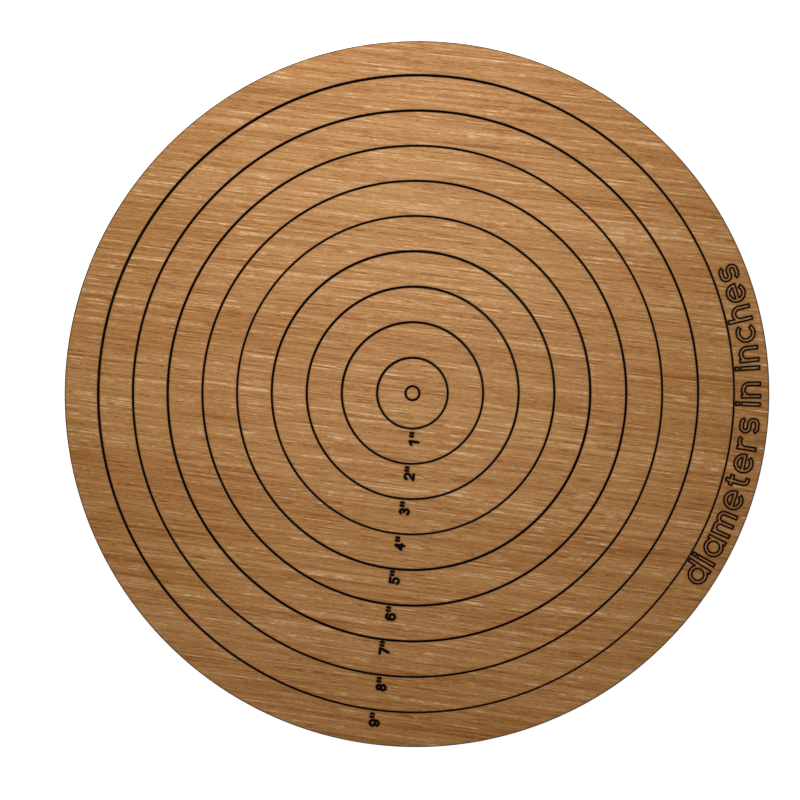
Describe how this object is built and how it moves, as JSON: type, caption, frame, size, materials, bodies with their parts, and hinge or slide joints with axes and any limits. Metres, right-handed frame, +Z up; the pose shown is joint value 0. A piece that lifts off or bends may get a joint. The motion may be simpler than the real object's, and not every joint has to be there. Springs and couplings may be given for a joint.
{
  "type": "circle template",
  "caption": "Flat round wooden circle template: concentric loose rings around a small disc and centre plug, each circle laser cut and labelled with its diameter in inches.",
  "frame": {"origin": "centre of the underside of the outermost ring", "axes": "+Z up through the figured face; the inch figures run along -X and read towards the centre; the rim legend is centred on about -Y"},
  "size_m": [0.2536, 0.2536, 0.003],
  "materials": {
    "face_veneer": "satin, straight grained",
    "core_veneer": "laser-charred edges",
    "back_veneer": "matt, straight grained"
  },
  "bodies": {
    "ring_9_to_10in": {"ring_9_to_10in_back_ply": "back_veneer", "ring_9_to_10in_core_ply": "core_veneer", "ring_9_to_10in_face_ply": "face_veneer"},
    "ring_8_to_9in": {"ring_8_to_9in_back_ply": "back_veneer", "ring_8_to_9in_core_ply": "core_veneer", "ring_8_to_9in_face_ply": "face_veneer"},
    "ring_7_to_8in": {"ring_7_to_8in_back_ply": "back_veneer", "ring_7_to_8in_core_ply": "core_veneer", "ring_7_to_8in_face_ply": "face_veneer"},
    "ring_6_to_7in": {"ring_6_to_7in_back_ply": "back_veneer", "ring_6_to_7in_core_ply": "core_veneer", "ring_6_to_7in_face_ply": "face_veneer"},
    "ring_5_to_6in": {"ring_5_to_6in_back_ply": "back_veneer", "ring_5_to_6in_core_ply": "core_veneer", "ring_5_to_6in_face_ply": "face_veneer"},
    "ring_4_to_5in": {"ring_4_to_5in_back_ply": "back_veneer", "ring_4_to_5in_core_ply": "core_veneer", "ring_4_to_5in_face_ply": "face_veneer"},
    "ring_3_to_4in": {"ring_3_to_4in_back_ply": "back_veneer", "ring_3_to_4in_core_ply": "core_veneer", "ring_3_to_4in_face_ply": "face_veneer"},
    "ring_2_to_3in": {"ring_2_to_3in_back_ply": "back_veneer", "ring_2_to_3in_core_ply": "core_veneer", "ring_2_to_3in_face_ply": "face_veneer"},
    "ring_1_to_2in": {"ring_1_to_2in_back_ply": "back_veneer", "ring_1_to_2in_core_ply": "core_veneer", "ring_1_to_2in_face_ply": "face_veneer"},
    "disc_1in": {"disc_1in_back_ply": "back_veneer", "disc_1in_core_ply": "core_veneer", "disc_1in_face_ply": "face_veneer"},
    "centre_plug": {"centre_plug_back_ply": "back_veneer", "centre_plug_core_ply": "core_veneer", "centre_plug_face_ply": "face_veneer"}
  },
  "joints": [
    {"name": "lift_ring_8_to_9in", "type": "slide", "parent": "ring_9_to_10in", "child": "ring_8_to_9in", "axis": [0, 0, 1], "range_m": [0, 0.006]},
    {"name": "lift_ring_7_to_8in", "type": "slide", "parent": "ring_9_to_10in", "child": "ring_7_to_8in", "axis": [0, 0, 1], "range_m": [0, 0.012]},
    {"name": "lift_ring_6_to_7in", "type": "slide", "parent": "ring_9_to_10in", "child": "ring_6_to_7in", "axis": [0, 0, 1], "range_m": [0, 0.018]},
    {"name": "lift_ring_5_to_6in", "type": "slide", "parent": "ring_9_to_10in", "child": "ring_5_to_6in", "axis": [0, 0, 1], "range_m": [0, 0.024]},
    {"name": "lift_ring_4_to_5in", "type": "slide", "parent": "ring_9_to_10in", "child": "ring_4_to_5in", "axis": [0, 0, 1], "range_m": [0, 0.03]},
    {"name": "lift_ring_3_to_4in", "type": "slide", "parent": "ring_9_to_10in", "child": "ring_3_to_4in", "axis": [0, 0, 1], "range_m": [0, 0.036]},
    {"name": "lift_ring_2_to_3in", "type": "slide", "parent": "ring_9_to_10in", "child": "ring_2_to_3in", "axis": [0, 0, 1], "range_m": [0, 0.042]},
    {"name": "lift_ring_1_to_2in", "type": "slide", "parent": "ring_9_to_10in", "child": "ring_1_to_2in", "axis": [0, 0, 1], "range_m": [0, 0.048]},
    {"name": "lift_disc_1in", "type": "slide", "parent": "ring_9_to_10in", "child": "disc_1in", "axis": [0, 0, 1], "range_m": [0, 0.054]},
    {"name": "lift_centre_plug", "type": "slide", "parent": "ring_9_to_10in", "child": "centre_plug", "axis": [0, 0, 1], "range_m": [0, 0.06]}
  ]
}
